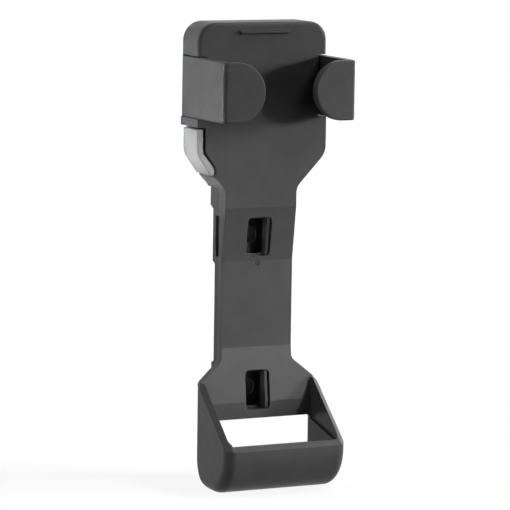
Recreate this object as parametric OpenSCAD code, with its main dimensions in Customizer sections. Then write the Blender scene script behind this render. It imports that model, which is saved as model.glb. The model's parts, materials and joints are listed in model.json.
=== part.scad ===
// Frame carrier for a folding bicycle lock: a back plate with a cup for the foot of the folded lock,
// two clamp arms driven by one pinion, and a side button that frees them.
// Origin: midway between the two bolt slots, on the line where the saddles touch the frame tube.
// X to the right, Y to the back (towards the tube), Z up.

/* [Mounting] */
// Distance between the two bolt slots
boss_spacing = 64; // [58:1:70]
// Width of a bolt slot
bolt_slot_w = 5.4; // [5.2:0.1:5.8]
// Length of a bolt slot
bolt_slot_l = 7; // [6.5:0.5:8]
// Wall of the steel sleeve in a bolt slot
sleeve_t = 0.95; // [0.8:0.05:1.1]
// Width of the window in front of a bolt slot
window_w = 11; // [10:0.5:12]
// Height of that window
window_h = 16.5; // [15:0.5:17]
// Width of the ledge on the right of the window
window_ledge = 2; // [1.6:0.1:2.2]
// Depth of the strap tunnel
strap_gap = 4.1; // [3.7:0.1:4.4]
// Height of the strap tunnel
strap_h = 17; // [15:0.5:18]
// Width of a rubber saddle
saddle_w = 20; // [18:0.5:22]
// Height of a rubber saddle
saddle_h = 21.3; // [20:0.1:23]
// Radius of the frame tube that the saddles fit
tube_r = 20; // [16:1:30]

/* [Plate] */
// Width of the head
head_w = 58.4; // [56:0.2:60]
// Depth of the head, front to back
head_d = 16.9; // [16.4:0.1:17.8]
// Width of the spine
spine_w = 32.2; // [31:0.1:33]
// Height of the top of the head above the origin
head_top = 120.8; // [119:0.2:124]
// Radius of the two top corners
head_r = 8; // [6:0.5:9]
// Radius of the cap's front and rear edges
cap_edge_r = 1.7; // [1.2:0.1:2]
// Wall thickness of the mouldings
wall = 2.4; // [2.2:0.1:2.6]
// Where the head starts to taper
taper_top = 66.3; // [65:0.1:68]
// Where the taper meets the spine
taper_low = 52.3; // [51:0.1:53.5]
// Depth of the shallow recess in the front of the spine
recess_d = 3.1; // [2:0.1:3.4]
// Depth of the front moulding's skirt
skirt_d = 6.3; // [6:0.1:6.8]
// Distance from the head's front to the tube
stack_d = 20; // [19:0.1:21]
// Reach of the ledge that keeps the lock down
hook_reach = 1.8; // [1.2:0.1:2.4]

/* [Cup] */
// Outside width of the cup
cup_w = 54.2; // [53:0.1:56]
// Reach of the cup in front of the head's front
cup_reach = 28.9; // [27:0.1:30]
// Height of the cup's underside
cup_low = -71; // [-72:0.1:-69]
// Wall of the cup
cup_wall = 2.4; // [2.2:0.1:2.6]
// Height of the front rim above the underside
rim_h = 19.5; // [18:0.1:21]
// Radius of the cup's underside at the front
cup_front_r = 17.4; // [15:0.2:18]
// Radius of the edges round its side walls
cup_edge_r = 4.2; // [3:0.1:5]
// Drop of the rim of the side walls towards the outside
rim_drop = 1.3; // [0.8:0.1:1.6]

/* [Arms] */
// Height of a clamp arm
arm_h = 24.5; // [23.5:0.1:25]
// Reach of an arm in front of the head's front
arm_reach = 27.1; // [26:0.1:28]
// Wall of an arm
arm_t = 3.4; // [3:0.1:3.6]
// Distance between the rounded ends of the two paddles
paddle_gap = 22.6; // [19:0.2:24]
// Gap round an arm in its notch
arm_gap = 0.6; // [0.5:0.1:0.8]
// Travel of each arm
arm_travel = 17; // [12:0.5:17]

/* [Drive] */
// Module of the rack and pinion
gear_m = 1; // [0.95:0.05:1.05]
// Teeth on the pinion
pinion_teeth = 12; // [12:2:12]
// Thickness of pinion and racks
gear_t = 5; // [4.5:0.1:5.5]
// Play between the teeth
backlash = 0.3; // [0.2:0.05:0.4]
// Radius of the pinion's axle
axle_r = 1.5; // [1.3:0.1:1.7]

/* [Release] */
// Thickness of the button's skin
button_t = 2.6; // [2.4:0.1:2.7]
// Gap round the button
button_gap = 1.1; // [0.9:0.05:1.2]
// How far the button stands proud of the head's side
button_proud = 0.1; // [0.1:0.1:0.5]
// Radius of the lever's pin
lever_pin_r = 1.25; // [1.1:0.05:1.4]

/* [Hidden] */
$fn = 48;
// Running clearance of a pin in its bore, and of a pin in its seat
run_fit = 0.05;
seat_fit = 0.02;
// Clearance of a cover in its opening
cover_fit = 0.2;
// Depths, counted to the back from the tube line
y_front = -stack_d;
y_skin = y_front + wall;
y_part = y_front + skirt_d;
y_head_back = y_front + head_d;
y_tunnel_back = y_part + strap_gap;
rear_wall = 2.9;
tower_t = 1.2;
web_t = 0.8;
window_slip = 0.4;
rib_t = 1.3;
rib_drop = 0.8;
sleeve_lip = 0.7;
y_land = y_tunnel_back + rear_wall;
land_step = 2.2;
y_spine_back = y_land - land_step;
cover_t = 2.6;
y_cover = y_head_back - cover_t;
// Half widths and heights
head_x = head_w / 2;
spine_x = spine_w / 2;
cup_x = cup_w / 2;
flare_top = -boss_spacing / 2 + 12.4;
flare_low = cup_low + 43.1;
flare_r = 2.5;
plate_low = cup_low + 27.3;
recess_top = boss_spacing / 2 + 12.5;
recess_full = boss_spacing / 2 - 10;
recess_out = -boss_spacing / 2 + 17.9;
recess_low = plate_low + 6.9;
waist_low = recess_top;
// Arms and drive
pitch_r = gear_m * pinion_teeth / 2;
pressure = 25;
gear_z = head_top - 26.45;
arm_x = head_x + 0.5;
arm_in = arm_x - arm_t;
paddle_t = arm_t + 1;
paddle_lean = 1;
arm_back = y_head_back - 1.5;
notch_x = arm_in - 1;
notch_back = arm_back + 0.3;
notch_wall = 2;
cheek_x = notch_x - notch_wall;
arm_low = gear_z - arm_h / 2;
arm_top = gear_z + arm_h / 2;
notch_low = arm_low - arm_gap;
notch_top = arm_top + arm_gap;
tab_t = 3.4;
tab_low = notch_low - tab_t;
rack_y = y_skin + 0.5;
rack_back = rack_y + gear_t;
rack_root = pitch_r + 1.25 * gear_m;
rack_bar = 3.6;
rack_mid = rack_root + rack_bar / 2;
rack_tip = cheek_x - 1.5;
rack_gap = 0.3;
stop_h = 1.2;
stop_w = 2.5;
// Release lever
button_top = tab_low - 0.8;
button_foot = [-spine_x - 7.1, taper_low + 6.1];
button_x = -head_x + button_t;
button_back = y_head_back - 2.7;
lever_x = -head_x + 8.7;
lever_z = tab_low - 8.5;
lever_hub_r = 3;
lever_y = rack_y + 1.6;
lever_back = rack_back + 1.6;
pawl_gap = 0.3;
// Screws
screw_r = 1.1;
screw_head_r = 2.3;
screw_head_h = 1.4;
boss_r = 2.8;
head_screw_at = [[-21, head_top - 8.3], [21, head_top - 8.3], [-7.5, taper_low + 7], [7.5, taper_low + 7]];
spine_screw_at = [[0, 11], [0, -8]];
shell_colour = [0.23, 0.23, 0.235];
rear_colour = [0.19, 0.19, 0.195];
button_colour = [0.72, 0.72, 0.72];
steel_colour = [0.7, 0.7, 0.72];
sleeve_colour = [0.1, 0.1, 0.1];
rubber_colour = [0.08, 0.08, 0.08];
acetal_colour = [0.85, 0.85, 0.82];

// Outlines with rounded corners: each point is [x, y, radius]
function unit(v) = v / norm(v);
function flat(lists) = [for (l = lists) for (p = l) p];
function turn(a) = a > 180 ? a - 360 : a < -180 ? a + 360 : a;
function corner(a, b, c, r, n = 8) =
    let (u = unit(a - b), v = unit(c - b), half = acos(u * v) / 2)
    let (centre = b + unit(u + v) * r / sin(half), from = b + u * r / tan(half), to = b + v * r / tan(half))
    let (a0 = atan2(from.y - centre.y, from.x - centre.x), a1 = atan2(to.y - centre.y, to.x - centre.x))
    [for (i = [0:n]) let (t = a0 + turn(a1 - a0) * i / n) centre + r * [cos(t), sin(t)]];
function xy(p) = [p.x, p.y];
function rounded(p) = flat([for (i = [0:len(p) - 1])
    let (k = len(p), a = p[(i + k - 1) % k], b = p[i], c = p[(i + 1) % k])
    b.z == 0 ? [xy(b)] : corner(xy(a), xy(b), xy(c), b.z, b.z > 9 ? 16 : 8)]);
function mirrored(p) = concat(p, [for (i = [len(p) - 1:-1:0]) [-p[i].x, p[i].y, p[i].z]]);

// An outline in X and Z, extruded along Y, and one in Y and Z, extruded along X
module along_y(y0, y1) translate([0, y1, 0]) rotate([90, 0, 0]) linear_extrude(y1 - y0) children();
module along_x(x0, x1) translate([x0, 0, 0]) rotate([90, 0, 90]) linear_extrude(x1 - x0) children();
module pin_y(x, z, r, y0, y1) translate([x, y1, z]) rotate([90, 0, 0]) cylinder(r = r, h = y1 - y0);
module box(low, high) translate(low) cube(high - low);
// Bolt slot, widened all round by a wall
module bolt_slot_2d(t) {
    run = bolt_slot_l - bolt_slot_w;
    square([bolt_slot_w + 2 * t, run], center = true);
    for (s = [-1, 1]) translate([0, s * run / 2]) circle(r = bolt_slot_w / 2 + t);
}
module window_2d(w, h, r) polygon(rounded([[-w / 2, -h / 2, r], [w / 2, -h / 2, r], [w / 2, h / 2, r],
    [-w / 2, h / 2, r]]));

// Head and spine seen from the front, drawn in by an inset
taper = unit([head_x - spine_x, taper_top - taper_low]);
taper_k = (1 - taper.y) / taper.x;
function body_outline(inset, low) = rounded(mirrored([
    [head_x - inset, head_top - inset, max(head_r - inset, 1)],
    [head_x - inset, taper_top + inset * taper_k, 8],
    [spine_x - inset, taper_low + inset * taper_k, 6],
    [spine_x - inset, low, 0]]));
// Front surface of the plate seen from the side, at a depth behind it
function front_line(depth) = [[y_front + depth, head_top + 1], [y_front + depth, recess_top],
    [y_front + recess_d + depth, recess_full], [y_front + recess_d + depth, recess_out],
    [y_front + depth, recess_low], [y_front + depth, plate_low]];
module behind_front(depth, back)
    along_x(-head_w, head_w) polygon(concat(front_line(depth), [[back, plate_low], [back, head_top + 1]]));

// Section of what a rounded edge takes away: [how far out, how deep behind the front]
function edge_cut(r, n = 8) = concat([[1, -1], [1, r]],
    [for (i = [0:n]) [r * cos(90 * i / n) - r, r - r * sin(90 * i / n)]], [[-r, -1]]);
module cap_edge() {
    cut = edge_cut(cap_edge_r);
    turn_x = head_x - head_r;
    turn_z = head_top - head_r;
    along_x(-turn_x, turn_x) polygon([for (p = cut) [y_front + p.y, head_top + p.x]]);
    for (s = [0, 1]) mirror([s, 0, 0]) {
        translate([0, 0, notch_low]) linear_extrude(turn_z - notch_low)
            polygon([for (p = cut) [head_x + p.x, y_front + p.y]]);
        intersection() {
            translate([turn_x, y_front, turn_z]) rotate([-90, 0, 0])
                rotate_extrude($fn = 96) polygon([for (p = cut) [head_r + p.x, p.y]]);
            box([turn_x, y_front - 1, turn_z], [head_w, y_part, head_top + 1]);
        }
    }
}

// Fine sweep of a wire through points, with six sides
function frame_at(d) = let (s = unit(cross(d, abs(d.y) < 0.9 ? [0, 1, 0] : [1, 0, 0]))) [s, cross(d, s)];
module wire(points, r, sides = 6) {
    n = len(points);
    dirs = [for (i = [0:n - 1]) unit(points[min(i + 1, n - 1)] - points[max(i - 1, 0)])];
    rings = flat([for (i = [0:n - 1]) let (f = frame_at(dirs[i]))
        [for (k = [0:sides - 1]) let (t = 360 * k / sides)
            points[i] + r * (cos(t) * f[0] + sin(t) * f[1])]]);
    skin = flat([for (i = [0:n - 2]) flat([for (k = [0:sides - 1])
        let (a = i * sides + k, b = i * sides + (k + 1) % sides)
        [[a, a + sides, b], [b, a + sides, b + sides]]])]);
    last = (n - 1) * sides;
    ends = flat([for (k = [1:sides - 2]) [[0, k, k + 1], [last, last + k + 1, last + k]]]);
    polyhedron(rings, concat(skin, ends));
}

module plate() {
    difference() {
        intersection() {
            union() {
                along_y(y_front, y_part) polygon(body_outline(0, plate_low));
                intersection() {
                    along_y(y_front, y_head_back) polygon(body_outline(0, plate_low));
                    box([-head_w, y_front, taper_low], [head_w, y_head_back, head_top]);
                }
            }
            behind_front(0, y_head_back);
        }
        intersection() {
            along_y(y_front, y_head_back + 1) difference() {
                polygon(body_outline(wall, plate_low + wall));
                for (s = [0, 1]) mirror([s, 0]) translate([cheek_x, tab_low])
                    square([head_w, notch_top + wall - tab_low]);
            }
            behind_front(wall, y_head_back + 1);
        }
    }
    // Flare to the width of the cup, with a skirt that runs out towards it
    difference() {
        intersection() {
            along_y(y_front, y_part) polygon(flare_outline(0));
            behind_front(0, y_head_back);
            along_x(-cup_w, cup_w) polygon([[y_front, flare_top + 8], [y_part, flare_top + 8],
                [y_part, flare_top], [y_skin + 1.2, flare_low], [y_skin, recess_low], [y_skin, plate_low],
                [y_front, plate_low]]);
        }
        intersection() {
            along_y(y_front, y_part + 1) polygon(flare_outline(wall));
            behind_front(wall, y_head_back);
        }
    }
}
function flare_outline(inset) = rounded(mirrored([[spine_x - 1 - inset, flare_top + 8, 0],
    [spine_x - inset, flare_top - inset * 0.4, 5], [cup_x - 0.8 - inset, flare_low - inset * 0.4, flare_r],
    [cup_x - cup_wall / 2 - inset, flare_low - 4, 0], [cup_x - cup_wall / 2 - inset, plate_low, 0]]));

// Cup for the foot of the lock: rounded underneath like the end of the folded links, with side walls that
// slope up to the plate, under which its back is open
cup_front = y_front - cup_reach;
cup_back = y_front + 1.2;
cup_rear_r = cup_back - cup_front - cup_front_r - 0.2;
module cup() {
    inner_front = cup_front + cup_wall;
    inner_back = cup_back - cup_wall;
    floor_z = cup_low + cup_wall;
    lip_z = cup_low + 13.3;
    step_back = plate_low - 1.6;
    step_front = cup_low + rim_h;
    wide_x = cup_x - cup_wall;
    low_x = wide_x - 1;
    rim_high = [cup_back - 1.6, flare_low];
    rim_low = [cup_front, cup_low + rim_h];
    difference() {
        intersection() {
            along_x(-cup_x, cup_x) polygon(rounded([[cup_back, rim_high.y, 0], [rim_high.x, rim_high.y, 1],
                [rim_low.x, rim_low.y, 0], [cup_front, cup_low, cup_front_r],
                [cup_back, cup_low, cup_rear_r]]));
            along_y(cup_front, cup_back) polygon(rounded([[-cup_x, cup_low, cup_edge_r],
                [cup_x, cup_low, cup_edge_r], [cup_x, flare_low, flare_r], [-cup_x, flare_low, flare_r]]));
        }
        for (s = [0, 1]) mirror([s, 0, 0]) {
            cup_edge();
            rim_cut(rim_low, rim_high);
        }
        // Hollow, wider above a step that slopes to the front
        intersection() {
            translate([0, 0, cup_low]) linear_extrude(flare_low + 1 - cup_low) polygon(rounded([
                [-wide_x, inner_front, 3], [wide_x, inner_front, 3], [wide_x, inner_back, 0],
                [-wide_x, inner_back, 0]]));
            along_x(-cup_x, cup_x) polygon([[cup_front, step_front], [inner_back, step_back],
                [inner_back, flare_low + 1], [cup_front, flare_low + 1]]);
        }
        box([-wide_x, inner_back - 1, plate_low], [wide_x, y_front + 4, flare_low + 1]);
        along_x(-low_x, low_x) polygon(rounded([[inner_front, step_back, 0],
            [inner_front, floor_z, cup_front_r - cup_wall], [inner_back, floor_z, cup_rear_r - cup_wall],
            [inner_back, step_back, 0]]));
        // Window under the plate
        along_y(inner_back - 1, cup_back + 1) polygon(rounded([[-low_x, lip_z, 2], [low_x, lip_z, 2],
            [low_x, plate_low, 1.2], [-low_x, plate_low, 1.2]]));
    }
}
// Rounded front edge of the right side wall, carried on round the underside
module cup_edge() {
    cut = edge_cut(cup_edge_r);
    turn_y = cup_front + cup_front_r;
    turn_z = cup_low + cup_front_r;
    translate([0, 0, turn_z]) linear_extrude(rim_h)
        polygon([for (p = cut) [cup_x - p.y, cup_front - p.x]]);
    intersection() {
        translate([cup_x, turn_y, turn_z]) rotate([0, -90, 0])
            rotate_extrude($fn = 96) polygon([for (p = cut) [cup_front_r + p.x, p.y]]);
        box([0, cup_front - 1, cup_low - 1], [cup_w, turn_y, turn_z]);
    }
}
// What is taken off the right side wall, so that its rim drops towards the outside
module rim_cut(low, high) {
    inner = cup_x - cup_wall;
    edge_drop = 0.1;
    fall = rim_drop / cup_wall;
    slope = atan2(high.y - low.y, high.x - low.x);
    translate([0, low.x, low.y]) rotate([slope, 0, 0]) along_y(-cup_w, cup_w)
        polygon([for (p = [[-1, 0], [cup_wall + 1, 0], [cup_wall + 1, cup_w], [-1, cup_w]])
            [inner + p.x, p.y > 0 ? p.y : -edge_drop - fall * p.x]]);
}

module front_shell() color(shell_colour) difference() {
    union() {
        plate();
        cup();
        // Ledge that keeps the lock down
        intersection() {
            along_x(-12.2, 12.2) polygon([[y_front + 0.5, head_top - 3],
                [y_front - hook_reach, head_top - 3.6],
                [y_front - hook_reach, head_top - 4.4], [y_front + 0.5, head_top - 5]]);
            along_y(y_front - hook_reach, y_front + 1) polygon([[-12.2, head_top], [12.2, head_top],
                [10.6, head_top - 5], [-10.6, head_top - 5]]);
        }
        // Web with the ledge behind each window
        for (s = [-1, 1]) translate([0, 0, s * boss_spacing / 2])
            box([-spine_x + wall / 2, y_part - web_t, -window_h / 2 - wall],
                [spine_x - wall / 2, y_part, window_h / 2 + wall]);
        for (s = [-1, 1]) window_frame(s * boss_spacing / 2);
        // Screw bosses and the seats of axle and lever pin
        for (p = head_screw_at) pin_y(p.x, p.y, boss_r, y_skin - 0.5, y_cover);
        for (p = spine_screw_at) pin_y(p.x, p.y, boss_r, y_skin + recess_d - 0.5, y_spine_back - 1.6);
        pin_y(0, gear_z, axle_r + 2, y_skin - 0.5, rack_y - 0.2);
        pin_y(lever_x, lever_z, lever_hub_r, y_skin - 0.5, rack_y - 0.2);
    }
    // Windows
    for (s = [-1, 1]) window_cut(s * boss_spacing / 2);
    // Notches for the arms, with the way through for each rack
    for (s = [0, 1]) mirror([s, 0, 0])
        box([notch_x, y_front - 1, notch_low], [head_w, notch_back, notch_top]);
    rack_way(-1);
    rack_way(1);
    // Room for the button
    along_y(y_front - 1, y_head_back + 1) polygon(rounded(concat([[-head_w, tab_low, 0]],
        button_inner(tab_low, button_gap), [[button_foot.x + 2.6, button_foot.y - button_gap, 0],
        [-head_w, button_foot.y - button_gap, 0]])));
    cap_edge();
    translate([0, y_front + y_head_back, 0]) mirror([0, 1, 0]) cap_edge();
    // Ring left by an ejector pin, under the upper window
    difference() {
        pin_y(0, boss_spacing / 2 - 11.3, 1.05, y_front, y_front + recess_d + 0.25);
        pin_y(0, boss_spacing / 2 - 11.3, 0.55, y_front, y_front + recess_d + 1);
    }
    // Pilot holes and blind seats
    for (p = head_screw_at) pin_y(p.x, p.y, screw_r + seat_fit, y_skin + 3, y_cover + 1);
    for (p = spine_screw_at) pin_y(p.x, p.y, screw_r + seat_fit, y_skin + recess_d, y_spine_back);
    pin_y(0, gear_z, axle_r + seat_fit, y_front + 1.2, rack_y);
    pin_y(lever_x, lever_z, lever_pin_r + seat_fit, y_front + 1.2, rack_y);
}
// Window with a rib that stands on its ledge
module window_cut(z) {
    rib_x = window_w / 2 - window_ledge + 0.1;
    difference() {
        translate([0, 0, z]) along_y(y_front - 1, y_part - web_t) window_2d(window_w, window_h, 2);
        intersection() {
            box([rib_x, y_front, z - window_h], [rib_x + rib_t, y_part, z + window_h]);
            behind_front(rib_drop, y_part);
        }
    }
    translate([(window_slip - window_ledge) / 2, 0, z]) along_y(y_front - 1, y_part + 1)
        window_2d(window_w - window_slip - window_ledge, window_h - 2, 2);
}
module window_frame(z) intersection() {
    translate([0, 0, z]) along_y(y_front, y_part) window_2d(window_w + wall, window_h + wall, 3);
    behind_front(wall / 2, y_part);
}
// Opening in a notch's wall: the left arm's rack is above the pinion, the right arm's below
module rack_way(side) {
    z0 = gear_z - side * (pitch_r - gear_m - rack_gap);
    z1 = gear_z - side * (rack_root + rack_bar + rack_gap);
    x = side > 0 ? [cheek_x - 1, notch_x + 1] : [-notch_x - 1, -cheek_x + 1];
    box([x[0], rack_y - rack_gap, min(z0, z1)], [x[1], rack_back + rack_gap, max(z0, z1)]);
}

// Rear moulding: cover of the head, tray of the spine and the towers of the bolts
module rear_shell() color(rear_colour) {
    rear_x = spine_x - 0.45;
    side_t = 2;
    low = plate_low + wall + cover_fit;
    difference() {
        union() {
            along_y(y_cover, y_head_back) difference() {
                polygon(body_outline(wall + cover_fit, taper_low));
                for (s = [0, 1]) mirror([s, 0]) translate([cheek_x - cover_fit, tab_low - cover_fit])
                    square([head_w, notch_top + wall - tab_low + 2 * cover_fit]);
            }
            along_x(-rear_x, rear_x) polygon(tray_outline(0, low));
            for (s = [-1, 1]) translate([0, 0, s * boss_spacing / 2])
                along_y(y_land - 0.5, 0) bolt_slot_2d(sleeve_t + tower_t);
            pin_y(0, gear_z, axle_r + 1.2, y_cover - 3.9, y_cover + 0.5);
            pin_y(lever_x, lever_z, lever_hub_r, y_cover - 0.4, y_cover + 0.5);
            // Rails behind the racks, and the rest of the button's spring
            for (z = [gear_z - rack_mid, gear_z + rack_mid])
                box([-cheek_x + 4, rack_back + rack_gap, z - 1], [cheek_x - 4, y_cover + 0.5, z + 1]);
            box([lever_x - 1.8, lever_back + 1.5, lever_z + lever_hub_r + 0.4],
                [lever_x - 0.3, y_cover + 0.5, button_top - 0.4]);
        }
        along_x(-rear_x + side_t, rear_x - side_t) polygon(tray_outline(1.6, low));
        for (s = [-1, 1]) translate([0, 0, s * boss_spacing / 2]) {
            box([-spine_w, y_part - 1, -strap_h / 2], [spine_w, y_tunnel_back, strap_h / 2]);
            along_y(y_part, 1) bolt_slot_2d(0);
            along_y(y_tunnel_back + sleeve_lip, 1) bolt_slot_2d(sleeve_t + seat_fit);
        }
        for (p = head_screw_at) {
            pin_y(p.x, p.y, screw_r + 0.2, y_cover - 1, y_head_back + 1);
            pin_y(p.x, p.y, screw_head_r + 0.2, y_head_back - screw_head_h, y_head_back + 1);
        }
        for (p = spine_screw_at) pin_y(p.x, p.y, screw_r + 0.2, y_part, y_land);
        pin_y(0, gear_z, axle_r + seat_fit, y_cover - 5, y_cover + 1);
        pin_y(lever_x, lever_z, lever_pin_r + seat_fit, y_cover - 1, y_cover + 1);
    }
}
// Side view of the rear tray, with its wall drawn in from the back by an inset
function tray_outline(inset, low) =
    let (mid = y_spine_back - inset, land = inset > 0 ? y_tunnel_back : y_land, z = boss_spacing / 2)
    let (head = y_head_back - (inset > 0 ? cover_t : 0.8), top = taper_low + (inset > 0 ? 1 : 0))
    let (h = saddle_h / 2 - inset, front = y_part - (inset > 0 ? 1 : 0), foot = low + inset)
    [[front, foot], [land, foot], [land, -z + h], [mid, -z + h + 1], [mid, z - h - 1], [land, z - h],
    [land, waist_low - 1.5 + inset], [head, waist_low + inset * 1.4], [head, top], [front, top]];

module head_screws() color(steel_colour) for (p = head_screw_at) {
    pin_y(p.x, p.y, screw_head_r, y_head_back - screw_head_h, y_head_back - 0.1);
    pin_y(p.x, p.y, screw_r, y_cover - 6, y_head_back - screw_head_h);
}
module spine_screws() color(steel_colour) for (p = spine_screw_at) {
    pin_y(p.x, p.y, screw_head_r, y_spine_back, y_spine_back + screw_head_h);
    pin_y(p.x, p.y, screw_r, y_skin + recess_d + 0.5, y_spine_back);
}
// Rubber saddle, hollowed to the frame tube
module saddle(z) color(rubber_colour) translate([0, 0, z]) difference() {
    along_y(y_land, 2) window_2d(saddle_w, saddle_h - 0.6, 3);
    translate([0, tube_r, -saddle_h]) cylinder(r = tube_r, h = 2 * saddle_h, $fn = 96);
    along_y(y_land - 1, 3) bolt_slot_2d(sleeve_t + tower_t + cover_fit);
}
module upper_saddle() saddle(boss_spacing / 2);
module lower_saddle() saddle(-boss_spacing / 2);
// Steel sleeve that takes the pull of a frame bolt, behind a lip of the rear moulding
module bolt_sleeve(z) color(sleeve_colour) translate([0, 0, z]) along_y(y_tunnel_back + sleeve_lip, 0)
    difference() {
        bolt_slot_2d(sleeve_t);
        bolt_slot_2d(0);
    }
module upper_bolt_sleeve() bolt_sleeve(boss_spacing / 2);
module lower_bolt_sleeve() bolt_sleeve(-boss_spacing / 2);

// Clamp arm on the left, with its paddle in front and its rack above the pinion
module arm() {
    paddle_y = y_front - arm_reach;
    r = arm_h / 2;
    tip = paddle_gap / 2;
    intersection() {
        translate([0, 0, arm_low]) linear_extrude(arm_h) polygon(rounded([[-arm_x, arm_back, 0.8],
            [-arm_x, paddle_y + paddle_lean, 2], [-tip, paddle_y, 0], [-tip, paddle_y + paddle_t, 0],
            [-arm_in, paddle_y + paddle_lean + arm_t, 1.2], [-arm_in, arm_back, 0.8]]));
        along_y(paddle_y, arm_back) {
            translate([-arm_x, arm_low]) square([arm_x - tip - r, arm_h]);
            translate([-tip - r, gear_z]) circle(r = r, $fn = 96);
        }
    }
    along_y(rack_y, rack_back) translate([0, gear_z]) rack_2d();
}
// Rack with its stop, seen from the front, its teeth pointing down at the pinion
module rack_2d() {
    pitch = PI * gear_m;
    half = pitch / 4 - backlash / 4;
    translate([-arm_in - 1, rack_root]) square([arm_in + 1 + rack_tip, rack_bar]);
    translate([arm_travel - cheek_x + 0.2, rack_root]) square([stop_w, rack_bar + stop_h]);
    tip = half - tan(pressure) * gear_m;
    root = half + tan(pressure) * 1.25 * gear_m;
    top = 1.25 * gear_m + 0.1;
    for (k = [-2:floor((rack_tip - pitch) / pitch)]) translate([(k + 0.5) * pitch, pitch_r])
        polygon([[-root, top], [-tip, -gear_m], [tip, -gear_m], [root, top]]);
}
module left_arm() color(shell_colour) arm();
module right_arm() color(shell_colour) difference() {
    translate([0, 0, gear_z]) rotate([0, 180, 0]) translate([0, 0, -gear_z]) arm();
    // Ratchet notches under the rack, for the pawl
    for (k = [0:9]) translate([-rack_tip + 2 + k * 1.8, 0, gear_z - rack_root - rack_bar])
        along_y(rack_y - 1, rack_back + 1) polygon([[0, -0.1], [1.2, -0.1], [0, 0.7]]);
}

// Involute pinion, with a tooth pointing straight up
function involute(a) = tan(a) * 180 / PI - a;
module pinion_2d() {
    base_r = pitch_r * cos(pressure);
    tip_r = pitch_r + gear_m;
    root_r = pitch_r - 1.25 * gear_m;
    half = (PI * gear_m / 2 - backlash / 2) / pitch_r / 2 * 180 / PI;
    steps = 5;
    radii = [for (i = [0:steps]) base_r + (tip_r - base_r) * i / steps];
    angles = [for (r = radii) half + involute(pressure) - involute(acos(min(base_r / r, 1)))];
    polygon(flat([for (k = [0:pinion_teeth - 1]) let (c = 90 + 360 * k / pinion_teeth) concat(
        [root_r * [cos(c - angles[0]), sin(c - angles[0])]],
        [for (i = [0:steps]) radii[i] * [cos(c - angles[i]), sin(c - angles[i])]],
        [for (i = [steps:-1:0]) radii[i] * [cos(c + angles[i]), sin(c + angles[i])]],
        [root_r * [cos(c + angles[0]), sin(c + angles[0])]])]));
}
spring_r = 3.5;
spring_wire = 0.35;
module drive_pinion() color(acetal_colour) difference() {
    union() {
        along_y(rack_y, rack_back) translate([0, gear_z]) pinion_2d();
        pin_y(0, gear_z, axle_r + 1, rack_back, rack_back + 0.6);
    }
    pin_y(0, gear_z, axle_r + run_fit, rack_y - 1, rack_back + 2);
    pin_y(-spring_r, gear_z, spring_wire + 0.15, rack_back - 1.6, rack_back + 1);
}
module pinion_axle() color(steel_colour) pin_y(0, gear_z, axle_r, y_front + 1.3, y_cover + 0.9);
module pinion_washer() color(steel_colour) difference() {
    pin_y(0, gear_z, axle_r + 1.1, rack_back + 0.7, rack_back + 1.2);
    pin_y(0, gear_z, axle_r + seat_fit, rack_back, rack_back + 2);
}
// Torsion spring round the axle, hooked into the pinion and the cover
module opening_spring() color(steel_colour) {
    turns = 3.5;
    per_turn = 12;
    y0 = rack_back + 1;
    y1 = y_cover - 1.2;
    coil = [for (i = [0:turns * per_turn]) let (t = 180 + 360 * i / per_turn)
        [spring_r * cos(t), y0 + (y1 - y0) * i / (turns * per_turn), gear_z + spring_r * sin(t)]];
    wire(concat([[-spring_r, rack_back - 1.2, gear_z], [-spring_r, y0 - 0.5, gear_z]], coil,
        [[spring_r, y1 + 0.5, gear_z], [spring_r, y_cover - 0.2, gear_z]]), spring_wire);
}

// Button skin on the left flank of the head
module release_button() color(button_colour) along_y(y_front, button_back)
    polygon(rounded(concat([[button_foot.x + 1.5, button_foot.y - 0.3, 1],
        [button_foot.x, button_foot.y, 0.8],
        [-head_x, taper_top + 0.7, 8], [-head_x - button_proud, button_top, 0.4]],
        button_inner(button_top, 0))));
// Inner side of the button from the top down, drawn out by a gap
function button_inner(high, gap) =
    let (x = button_x + gap, foot = button_foot + [0.65, 0.5] * gap)
    [[x, high, gap > 0 ? 0 : 0.4], [x, taper_top + 1.3 + 0.4 * gap, 4], [foot.x + 0.7, foot.y + 4.1, 2],
    [foot.x + 1.9, foot.y + 2.1, 0]];
// Lever behind the button, with the pawl under the right arm's rack
module pawl_lever() color(acetal_colour) difference() {
    pawl_z = gear_z - rack_root - rack_bar - pawl_gap;
    tip_x = lever_x + 10.6;
    union() {
        along_y(lever_y, lever_back) polygon([[button_x, lever_z + 4.5], [button_x, lever_z - 0.4],
            [lever_x - 1, lever_z - lever_hub_r], [lever_x + 2.5, lever_z - 2], [tip_x + 0.8, pawl_z - 2.4],
            [tip_x, pawl_z], [tip_x - 1.6, pawl_z - 1.2], [lever_x, lever_z + lever_hub_r]]);
        pin_y(lever_x, lever_z, lever_hub_r, rack_y - 0.1, y_cover - 0.5);
    }
    pin_y(lever_x, lever_z, lever_pin_r + run_fit, rack_y - 1, y_cover + 1);
}
module lever_pin() color(steel_colour) pin_y(lever_x, lever_z, lever_pin_r, y_front + 1.3, y_cover + 0.9);
// Compression spring that holds the button out
module button_spring() color(steel_colour) {
    turns = 4;
    per_turn = 10;
    r = 1.4;
    thick = 0.25;
    x0 = button_x + thick + 0.05;
    x1 = lever_x - 1.8 - thick - 0.05;
    y = (lever_back + 1.5 + y_cover) / 2;
    z = button_top - 2.6;
    wire([for (i = [0:turns * per_turn]) let (t = 360 * i / per_turn)
        [x0 + (x1 - x0) * i / (turns * per_turn), y + r * cos(t), z + r * sin(t)]], thick);
}

front_shell();
rear_shell();
head_screws();
spine_screws();
upper_saddle();
lower_saddle();
upper_bolt_sleeve();
lower_bolt_sleeve();
left_arm();
right_arm();
drive_pinion();
pinion_axle();
pinion_washer();
opening_spring();
release_button();
pawl_lever();
lever_pin();
button_spring();
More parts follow.
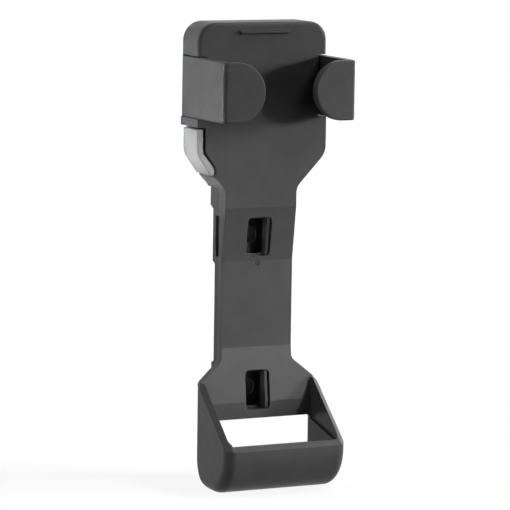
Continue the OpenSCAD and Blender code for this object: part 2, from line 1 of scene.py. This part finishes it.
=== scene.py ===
"""Looks of the folding-lock carrier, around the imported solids: finishes, soft edges, studio and camera.

Metres, in the frame of the solids: X to the right, Y to the back, Z up.
"""

import json
import math

import bpy
from mathutils import Matrix, Vector


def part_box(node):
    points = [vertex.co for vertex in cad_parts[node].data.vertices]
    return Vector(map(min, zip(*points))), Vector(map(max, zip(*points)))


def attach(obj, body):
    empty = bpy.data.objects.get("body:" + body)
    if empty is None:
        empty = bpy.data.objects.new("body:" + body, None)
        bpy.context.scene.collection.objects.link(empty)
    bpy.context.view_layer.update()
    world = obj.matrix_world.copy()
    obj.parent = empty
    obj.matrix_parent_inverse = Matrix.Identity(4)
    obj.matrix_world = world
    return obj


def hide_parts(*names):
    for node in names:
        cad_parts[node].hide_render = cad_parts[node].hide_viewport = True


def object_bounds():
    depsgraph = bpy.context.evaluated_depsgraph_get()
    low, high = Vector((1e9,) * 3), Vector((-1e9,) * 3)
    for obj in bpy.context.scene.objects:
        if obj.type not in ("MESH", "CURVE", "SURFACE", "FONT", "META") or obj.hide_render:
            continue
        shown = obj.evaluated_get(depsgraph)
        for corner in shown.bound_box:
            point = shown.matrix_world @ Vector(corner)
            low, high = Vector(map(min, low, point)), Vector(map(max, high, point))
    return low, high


MM = 0.001

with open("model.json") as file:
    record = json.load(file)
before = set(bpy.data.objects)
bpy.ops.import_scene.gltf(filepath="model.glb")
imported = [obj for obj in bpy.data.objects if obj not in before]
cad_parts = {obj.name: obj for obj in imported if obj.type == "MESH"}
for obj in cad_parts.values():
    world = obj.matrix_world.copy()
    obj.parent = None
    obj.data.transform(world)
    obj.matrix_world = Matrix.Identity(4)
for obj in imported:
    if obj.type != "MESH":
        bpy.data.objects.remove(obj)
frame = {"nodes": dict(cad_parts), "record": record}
nodes = frame["nodes"]
cad_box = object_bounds()
scene = bpy.context.scene
scene.view_settings.view_transform = "Standard"

# Camera, fitted to the edges of the object in the photograph
PHOTO_PX = 510.0
SENSOR_W = 36.0
VIEW_LIMIT = 20.0


def add_camera(yaw, pitch, roll, distance, target, focal_px):
    """Camera that looks at a target from a distance; the angles are in degrees."""
    yaw, pitch, roll = (math.radians(angle) for angle in (yaw, pitch, roll))
    level = math.cos(pitch)
    away = Vector((-math.sin(yaw) * level, -math.cos(yaw) * level, math.sin(pitch)))
    right = Vector((0, 0, 1)).cross(away).normalized()
    up = away.cross(right)
    turned_right = math.cos(roll) * right + math.sin(roll) * up
    turned_up = math.cos(roll) * up - math.sin(roll) * right
    data = bpy.data.cameras.new("photo_camera")
    data.sensor_width = SENSOR_W
    data.lens = focal_px / PHOTO_PX * SENSOR_W
    data.clip_end = VIEW_LIMIT
    camera = bpy.data.objects.new("photo_camera", data)
    basis = Matrix((turned_right, turned_up, away)).transposed().to_4x4()
    camera.matrix_world = Matrix.Translation(target + away * distance) @ basis
    scene.collection.objects.link(camera)
    scene.camera = camera


add_camera(yaw=25.31, pitch=7.78, roll=0.86, distance=1.31469,
           target=Vector((-2.49, -20.0, 24.78)) * MM, focal_px=3185.21)

# Finishes
NOISE_LOW = 0.3  # Noise mostly lies between these two values
NOISE_HIGH = 0.7
EDGE_SAMPLES = 8


def map_range(tree, value, before, after):
    """Carries a value from one range to another."""
    made = tree.nodes.new("ShaderNodeMapRange")
    made.inputs["From Min"].default_value = before[0]
    made.inputs["From Max"].default_value = before[1]
    made.inputs["To Min"].default_value = after[0]
    made.inputs["To Max"].default_value = after[1]
    tree.links.new(value, made.inputs["Value"])
    return made.outputs["Result"]


class Shader:
    """A material under construction: a Principled shader with helpers for its texture nodes."""

    def __init__(self, name):
        self.material = bpy.data.materials.new(name)
        self.material.use_nodes = True
        self.tree = self.material.node_tree
        self.inputs = self.tree.nodes["Principled BSDF"].inputs
        self.place = self.tree.nodes.new("ShaderNodeTexCoord").outputs["Object"]

    def link(self, source, target):
        self.tree.links.new(source, target)

    def noise(self, size, detail, stretch=(1, 1, 1)):
        """Noise with features of a size in metres."""
        mapping = self.tree.nodes.new("ShaderNodeMapping")
        mapping.inputs["Scale"].default_value = stretch
        self.link(self.place, mapping.inputs["Vector"])
        made = self.tree.nodes.new("ShaderNodeTexNoise")
        made.inputs["Scale"].default_value = 1.0 / size
        made.inputs["Detail"].default_value = detail
        self.link(mapping.outputs["Vector"], made.inputs["Vector"])
        return made.outputs["Fac"]

    def roughness(self, value, low, high):
        """Gloss that wanders between two values."""
        wander = map_range(self.tree, value, (NOISE_LOW, NOISE_HIGH), (low, high))
        self.link(wander, self.inputs["Roughness"])

    def tint(self, value, dark, light):
        """Colour that wanders between two tones."""
        made = self.tree.nodes.new("ShaderNodeValToRGB")
        first, last = made.color_ramp.elements
        first.position = NOISE_LOW
        first.color = (*dark, 1)
        last.position = NOISE_HIGH
        last.color = (*light, 1)
        self.link(value, made.inputs["Fac"])
        self.link(made.outputs["Color"], self.inputs["Base Color"])

    def bump(self, value, depth, edge=0.0):
        """Fine relief, over edges that are broken by a radius in metres."""
        made = self.tree.nodes.new("ShaderNodeBump")
        made.inputs["Distance"].default_value = depth
        self.link(value, made.inputs["Height"])
        if edge:
            rounded = self.tree.nodes.new("ShaderNodeBevel")
            rounded.samples = EDGE_SAMPLES
            rounded.inputs["Radius"].default_value = edge
            self.link(rounded.outputs["Normal"], made.inputs["Normal"])
        self.link(made.outputs["Normal"], self.inputs["Normal"])


PLASTIC_CLOUD = 9 * MM
PLASTIC_SHEEN = 3 * MM
PLASTIC_GRAIN = 0.35 * MM
PLASTIC_EDGE = 0.4 * MM
FINE_GRAIN_DEPTH = 0.004 * MM
TONE_WANDER = 0.07
GLOSS_WANDER = 0.04


def moulded_plastic(name, tone, rough, depth=0.012 * MM, specular=0.085):
    """Spark-textured moulding: a fine grain with slight wandering of tone and gloss."""
    made = Shader(name)
    dark = [part * (1 - TONE_WANDER) for part in tone]
    light = [part * (1 + TONE_WANDER) for part in tone]
    made.tint(made.noise(PLASTIC_CLOUD, detail=4), dark, light)
    made.roughness(made.noise(PLASTIC_SHEEN, detail=3), rough - GLOSS_WANDER, rough + GLOSS_WANDER)
    made.bump(made.noise(PLASTIC_GRAIN, detail=2), depth, PLASTIC_EDGE)
    made.inputs["Specular IOR Level"].default_value = specular
    return made.material


def zinc_steel(name):
    """Zinc-coated steel with fine drawn lines along Y."""
    made = Shader(name)
    made.inputs["Metallic"].default_value = 1.0
    made.tint(made.noise(2 * MM, detail=3), dark=(0.46, 0.47, 0.49), light=(0.58, 0.59, 0.60))
    lines = made.noise(0.25 * MM, detail=2, stretch=(1, 0.08, 1))
    made.roughness(lines, low=0.28, high=0.42)
    made.bump(lines, FINE_GRAIN_DEPTH)
    return made.material


def moulded_rubber(name):
    """Matt black rubber with a deeper grain."""
    made = Shader(name)
    made.tint(made.noise(4 * MM, detail=3), dark=(0.014, 0.014, 0.014), light=(0.022, 0.022, 0.022))
    made.roughness(made.noise(1.5 * MM, detail=3), low=0.66, high=0.78)
    made.bump(made.noise(0.3 * MM, detail=2), depth=0.02 * MM)
    return made.material


finishes = {
    "shell": moulded_plastic("shell_plastic", (0.047, 0.047, 0.048), rough=0.37),
    "rear": moulded_plastic("rear_plastic", (0.034, 0.034, 0.035), rough=0.44),
    "button": moulded_plastic("button_plastic", (0.23, 0.23, 0.23), rough=0.42, specular=0.3),
    "acetal": moulded_plastic("acetal", (0.68, 0.68, 0.65), rough=0.38, depth=FINE_GRAIN_DEPTH),
    "steel": zinc_steel("zinc_steel"),
    # Painted shade: the parts on this slot get a near-black, almost glossless finish, so they stay as
    # dark as the shaded bolt slots where a steel finish would show bright.
    "black_steel": moulded_plastic("near_black_painted_shade", (0.008, 0.008, 0.008), rough=0.6,
                                   depth=FINE_GRAIN_DEPTH, specular=0.02),
    "rubber": moulded_rubber("saddle_rubber"),
}
for part in frame["record"]["subparts"]:
    target = nodes[part["node"]]
    target.data.materials.clear()
    target.data.materials.append(finishes[part["material_slot"]])

# Smooth shading and soft edges
SHADE_ANGLE = math.radians(30)
BEVEL_ANGLE = math.radians(32)
FLAT_ANGLE = math.radians(0.6)
WELD_GAP = 0.002 * MM
BEVEL_SEGMENTS = 3


def new_group(name):
    """Empty modifier tree, with its input and output nodes."""
    group = bpy.data.node_groups.new(name, "GeometryNodeTree")
    group.interface.new_socket("Geometry", in_out="INPUT", socket_type="NodeSocketGeometry")
    group.interface.new_socket("Geometry", in_out="OUTPUT", socket_type="NodeSocketGeometry")
    start = group.nodes.new("NodeGroupInput")
    end = group.nodes.new("NodeGroupOutput")
    return group, start, end


def compare(group, operation, value, limit):
    """Tests a number against a limit, which is a number or a socket."""
    test = group.nodes.new("FunctionNodeCompare")
    test.data_type = "FLOAT"
    test.operation = operation
    group.links.new(value, test.inputs["A"])
    if isinstance(limit, float):
        test.inputs["B"].default_value = limit
    else:
        group.links.new(limit, test.inputs["B"])
    return test.outputs["Result"]


def sharp_edges(group, limit):
    """Picks the edges whose faces meet at more than an angle."""
    angle = group.nodes.new("GeometryNodeInputMeshEdgeAngle")
    return compare(group, "GREATER_THAN", angle.outputs["Unsigned Angle"], limit)


def smooth_group():
    """Modifier tree that shades a mesh smooth, apart from its sharp edges."""
    group, start, end = new_group("shade_by_angle")
    faces = group.nodes.new("GeometryNodeSetShadeSmooth")
    edges = group.nodes.new("GeometryNodeSetShadeSmooth")
    edges.domain = "EDGE"
    edges.inputs["Shade Smooth"].default_value = False
    group.links.new(start.outputs["Geometry"], faces.inputs["Geometry"])
    group.links.new(faces.outputs["Geometry"], edges.inputs["Geometry"])
    group.links.new(sharp_edges(group, SHADE_ANGLE), edges.inputs["Selection"])
    group.links.new(edges.outputs["Geometry"], end.inputs["Geometry"])
    return group


def edge_group():
    """Modifier tree that marks the sharp edges in front of a limit along Y, for the bevel."""
    group, start, end = new_group("mark_edges")
    limit = group.interface.new_socket("Limit", in_out="INPUT", socket_type="NodeSocketFloat")
    place = group.nodes.new("GeometryNodeInputPosition")
    along = group.nodes.new("ShaderNodeSeparateXYZ")
    group.links.new(place.outputs["Position"], along.inputs["Vector"])
    chosen = group.nodes.new("FunctionNodeBooleanMath")
    chosen.operation = "AND"
    in_front = compare(group, "LESS_THAN", along.outputs["Y"], start.outputs["Limit"])
    group.links.new(in_front, chosen.inputs[0])
    group.links.new(sharp_edges(group, BEVEL_ANGLE), chosen.inputs[1])
    mark = group.nodes.new("GeometryNodeStoreNamedAttribute")
    mark.data_type = "FLOAT"
    mark.domain = "EDGE"
    mark.inputs["Name"].default_value = "bevel_weight_edge"
    group.links.new(start.outputs["Geometry"], mark.inputs["Geometry"])
    group.links.new(chosen.outputs["Boolean"], mark.inputs["Value"])
    group.links.new(mark.outputs["Geometry"], end.inputs["Geometry"])
    return group, limit.identifier


shade_by_angle = smooth_group()
mark_edges, LIMIT = edge_group()


def shade_smooth(piece):
    piece.modifiers.new("shade", "NODES").node_group = shade_by_angle


def soften(piece, radius, in_front_of):
    """Rounds a piece's sharp edges in front of a place along Y.

    Its flat faces are joined first, so that the bevel meets whole faces.
    """
    weld = piece.modifiers.new("weld", "WELD")
    weld.merge_threshold = WELD_GAP
    joined = piece.modifiers.new("join_flat_faces", "DECIMATE")
    joined.decimate_type = "DISSOLVE"
    joined.angle_limit = FLAT_ANGLE
    mark = piece.modifiers.new("mark_edges", "NODES")
    mark.node_group = mark_edges
    mark[LIMIT] = in_front_of
    bevel = piece.modifiers.new("soft_edges", "BEVEL")
    bevel.width = radius
    bevel.segments = BEVEL_SEGMENTS
    bevel.limit_method = "WEIGHT"
    bevel.use_clamp_overlap = False
    bevel.miter_outer = "MITER_SHARP"
    shade_smooth(piece)
    flat = piece.modifiers.new("flat_faces", "WEIGHTED_NORMAL")
    flat.keep_sharp = True


PADDLE_EDGE = 0.8 * MM
PADDLE_BACK = -30 * MM
BUTTON_EDGE = 0.4 * MM
BEHIND_ALL = 1.0  # Further back than any piece

for name in ("front_shell", "rear_shell", "upper_saddle", "lower_saddle"):
    shade_smooth(nodes[name])
for name in ("left_arm", "right_arm"):
    soften(nodes[name], PADDLE_EDGE, in_front_of=PADDLE_BACK)
soften(nodes["release_button"], BUTTON_EDGE, in_front_of=BEHIND_ALL)

# Screws with a cross recess, seen from the back
SCREW_SIDES = 48
SCREW_R = 1.1 * MM
SCREW_TIP_R = 0.33 * MM
SCREW_HEAD_R = 2.3 * MM
SCREW_HEAD_H = 1.3 * MM
HEAD_ROUNDING = ((0, 0.45 * MM), (0.12 * MM, 0.2 * MM), (0.45 * MM, 0.03 * MM))  # Inset and drop
RECESS_CORE = 0.5 * MM
RECESS_WING = 0.85 * MM
RECESS_DEPTH = 0.9 * MM
RECESS_CHAMFER = 0.08 * MM
RECESS_FLOOR = 0.55  # Size of its floor, as a share of its mouth
LOWER_SCREWS_X = 7.5 * MM


def cross(angle):
    """Radius of the four-winged recess at an angle."""
    return RECESS_CORE + RECESS_WING * ((1 + math.cos(4 * angle)) / 2) ** 3


def screw_rings(tip, top):
    """Rings from the tip round to the recess: a plain radius, a share of the cross to add, and Y."""
    seat = top - SCREW_HEAD_H
    shank = [(SCREW_TIP_R, 0, tip), (SCREW_R, 0, tip + SCREW_R), (SCREW_R, 0, seat)]
    head = [(SCREW_HEAD_R, 0, seat)]
    head += [(SCREW_HEAD_R - inset, 0, top - drop) for inset, drop in HEAD_ROUNDING]
    recess = [(RECESS_CHAMFER, 1, top), (0, 1, top - RECESS_CHAMFER)]
    recess += [(0, RECESS_FLOOR, top - RECESS_DEPTH)]
    return shank + head + recess


def add_screws(node, places):
    """Replaces a node of screws that stand along Y at places given by their X and Z."""
    low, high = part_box(node)
    rings = screw_rings(low.y, high.y)
    steps = range(SCREW_SIDES)
    points = []
    faces = []
    for x, z in places:
        first = len(points)
        for radius, share, y in rings:
            for step in steps:
                angle = 2 * math.pi * step / SCREW_SIDES
                reach = radius + share * cross(angle)
                points.append((x + reach * math.sin(angle), y, z + reach * math.cos(angle)))
        last = len(points) - SCREW_SIDES
        for ring in range(first, last, SCREW_SIDES):
            inner = ring + SCREW_SIDES
            for step in steps:
                after = (step + 1) % SCREW_SIDES
                faces.append((ring + step, ring + after, inner + after, inner + step))
        faces.append(tuple(first + step for step in reversed(steps)))
        faces.append(tuple(last + step for step in steps))
    mesh = bpy.data.meshes.new(node + "_detailed")
    mesh.from_pydata(points, [], faces)
    mesh.materials.append(finishes["steel"])
    screws = bpy.data.objects.new(node + "_detailed", mesh)
    scene.collection.objects.link(screws)
    shade_smooth(screws)
    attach(screws, "carrier")
    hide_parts(node)


def outer_screws(node):
    """Furthest X, lowest Z and highest Z of the screws' centres in a node."""
    low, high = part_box(node)
    return high.x - SCREW_HEAD_R, low.z + SCREW_HEAD_R, high.z - SCREW_HEAD_R


upper_x, lower_z, upper_z = outer_screws("head_screws")
add_screws("head_screws", [(-upper_x, upper_z), (upper_x, upper_z),
                           (-LOWER_SCREWS_X, lower_z), (LOWER_SCREWS_X, lower_z)])
middle_x, lower_z, upper_z = outer_screws("spine_screws")
add_screws("spine_screws", [(middle_x, upper_z), (middle_x, lower_z)])

# Studio: a pale floor that runs out to white, soft lights and an even white surround
WHITE = (1, 1, 1, 1)
FLOOR_TONE = (0.15, 0.15, 0.15, 1)
FLOOR_FADE = (0.15, 0.5)  # Distances between which the floor runs out to white
FLOOR_GLOW = (0.86, 1.0)
FLOOR_GAP = 0.2 * MM


def mix_by_ray(tree, seen, other, output):
    """Shows one shader to camera, glossy and transmission rays, and the other to the rest."""
    path = tree.nodes.new("ShaderNodeLightPath")
    picked = path.outputs["Is Camera Ray"]
    for ray in ("Is Glossy Ray", "Is Transmission Ray"):
        either = tree.nodes.new("ShaderNodeMath")
        either.operation = "MAXIMUM"
        tree.links.new(picked, either.inputs[0])
        tree.links.new(path.outputs[ray], either.inputs[1])
        picked = either.outputs[0]
    mix = tree.nodes.new("ShaderNodeMixShader")
    tree.links.new(picked, mix.inputs["Fac"])
    tree.links.new(other, mix.inputs[1])
    tree.links.new(seen, mix.inputs[2])
    tree.links.new(mix.outputs[0], output)


def add_world(seen, ambient):
    """White surround, with one strength where it is seen and another as light."""
    world = bpy.data.worlds.new("studio")
    scene.world = world
    world.use_nodes = True
    tree = world.node_tree
    shown = tree.nodes["Background"]
    fill = tree.nodes.new("ShaderNodeBackground")
    for background, strength in ((shown, seen), (fill, ambient)):
        background.inputs["Color"].default_value = WHITE
        background.inputs["Strength"].default_value = strength
    mix_by_ray(tree, shown.outputs[0], fill.outputs[0], tree.nodes["World Output"].inputs["Surface"])


def floor_material():
    """Pale floor that takes shadows and glows to white with distance."""
    material = bpy.data.materials.new("pale_floor")
    material.use_nodes = True
    tree = material.node_tree
    tree.nodes.remove(tree.nodes["Principled BSDF"])
    lit = tree.nodes.new("ShaderNodeBsdfDiffuse")
    lit.inputs["Color"].default_value = FLOOR_TONE
    glow = tree.nodes.new("ShaderNodeEmission")
    place = tree.nodes.new("ShaderNodeTexCoord")
    distance = tree.nodes.new("ShaderNodeVectorMath")
    distance.operation = "LENGTH"
    tree.links.new(place.outputs["Object"], distance.inputs[0])
    fade = map_range(tree, distance.outputs["Value"], FLOOR_FADE, FLOOR_GLOW)
    tree.links.new(fade, glow.inputs["Strength"])
    both = tree.nodes.new("ShaderNodeAddShader")
    tree.links.new(lit.outputs[0], both.inputs[0])
    tree.links.new(glow.outputs[0], both.inputs[1])
    mix_by_ray(tree, both.outputs[0], lit.outputs[0], tree.nodes["Material Output"].inputs["Surface"])
    return material


def add_floor(height, size):
    mesh = bpy.data.meshes.new("floor")
    corners = [(-size, -size, height), (size, -size, height), (size, size, height), (-size, size, height)]
    mesh.from_pydata(corners, [], [(0, 1, 2, 3)])
    mesh.materials.append(floor_material())
    floor = bpy.data.objects.new("floor", mesh)
    scene.collection.objects.link(floor)


def add_softbox(name, place, aim, size, power, spread=180):
    """Soft light that faces an aim; a spread under 180 degrees is a grid on its front."""
    data = bpy.data.lights.new(name, "AREA")
    data.shape = "RECTANGLE"
    data.size, data.size_y = size
    data.energy = power
    data.spread = math.radians(spread)
    lamp = bpy.data.objects.new(name, data)
    lamp.location = place
    lamp.rotation_euler = (Vector(aim) - Vector(place)).to_track_quat("-Z", "Y").to_euler()
    scene.collection.objects.link(lamp)


add_world(seen=1.0, ambient=0.01)
add_floor(height=cad_box[0][2] - FLOOR_GAP, size=6.0)
centre = (0, -0.02, 0.03)
lower = (0, -0.02, -0.004)
head = (-0.03, -0.02, 0.084)
add_softbox("key", (1.10, -0.58, 0.23), lower, size=(0.3, 0.35), power=0.54, spread=22)
add_softbox("left_fill", (-1.13, -0.55, 0.16), centre, size=(0.35, 0.4), power=4)
add_softbox("left_rear", (-0.95, 0.64, 0.50), centre, size=(0.4, 0.5), power=10)
add_softbox("sheen", (0.55, -1.08, 0.22), lower, size=(0.12, 0.12), power=0.055, spread=12)
add_softbox("head_side", (-1.15, 0.30, 0.0), head, size=(0.1, 0.1), power=0.045, spread=5)
add_softbox("rear_fill", (1.0, 0.75, 0.05), centre, size=(0.4, 0.4), power=8)
add_softbox("top", (0.58, -0.33, 1.09), centre, size=(0.3, 0.3), power=8)
